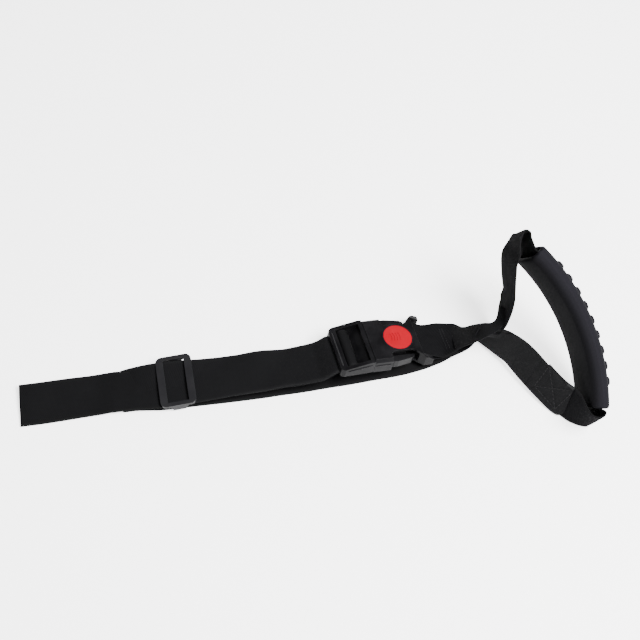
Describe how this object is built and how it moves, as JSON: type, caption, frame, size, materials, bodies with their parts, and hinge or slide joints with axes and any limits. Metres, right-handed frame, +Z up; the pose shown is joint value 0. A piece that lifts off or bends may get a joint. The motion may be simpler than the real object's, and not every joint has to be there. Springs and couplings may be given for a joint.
{
  "type": "car grab strap",
  "caption": "Webbing grab strap with a curved ridged grip, a centre-button buckle and a slider that sets its length.",
  "frame": {"origin": "centre of the footprint at the lowest point, where the strap lies on its support", "axes": "+X along the strap from its free tail to the grip, +Y away from the picture's camera, +Z up"},
  "size_m": [0.486, 0.1515, 0.1268],
  "materials": {
    "buckle_plastic": "moulded black, satin",
    "button_plastic": "moulded red",
    "spring_steel": "drawn wire",
    "slider_plastic": "moulded black, satin",
    "grip_rubber": "soft moulded, matte",
    "webbing": "woven nylon"
  },
  "bodies": {
    "root": {"female_housing": "buckle_plastic", "grip": "grip_rubber", "main_strap": "webbing", "handle_webbing": "webbing"},
    "male": {"male_half": "buckle_plastic"},
    "arm_left": {"latch_arm_left": "buckle_plastic"},
    "arm_right": {"latch_arm_right": "buckle_plastic"},
    "button": {"release_button": "button_plastic", "button_spring": "spring_steel"},
    "slider": {"slider": "slider_plastic"}
  },
  "joints": [
    {"name": "buckle_release", "type": "slide", "parent": "root", "child": "male", "axis": [-0.9718, -0.0936, 0.2164], "range_m": [0, 0.038], "deforming": ["main_strap", "latch_arm_left", "latch_arm_right"]},
    {"name": "latch_arm_left_squeeze", "type": "hinge", "parent": "male", "child": "arm_left", "pos_m": [0.05532, 0.0464, 0.01963], "axis": [-0.203, -0.135, -0.9698], "range_deg": [0, 6.5], "stiffness_Nm_per_rad": 0.4},
    {"name": "latch_arm_right_squeeze", "type": "hinge", "parent": "male", "child": "arm_right", "pos_m": [0.05983, 0.00931, 0.02385], "axis": [0.203, 0.135, 0.9698], "range_deg": [0, 6.5], "stiffness_Nm_per_rad": 0.4},
    {"name": "button_press", "type": "slide", "parent": "root", "child": "button", "axis": [-0.203, -0.135, -0.9698], "range_m": [0, 0.0025], "stiffness_N_per_m": 400, "deforming": ["button_spring"]},
    {"name": "slider_adjust", "type": "slide", "parent": "root", "child": "slider", "axis": [0.9987, 0.0174, 0.0488], "range_m": [-0.005, 0.04], "deforming": ["main_strap"]}
  ]
}
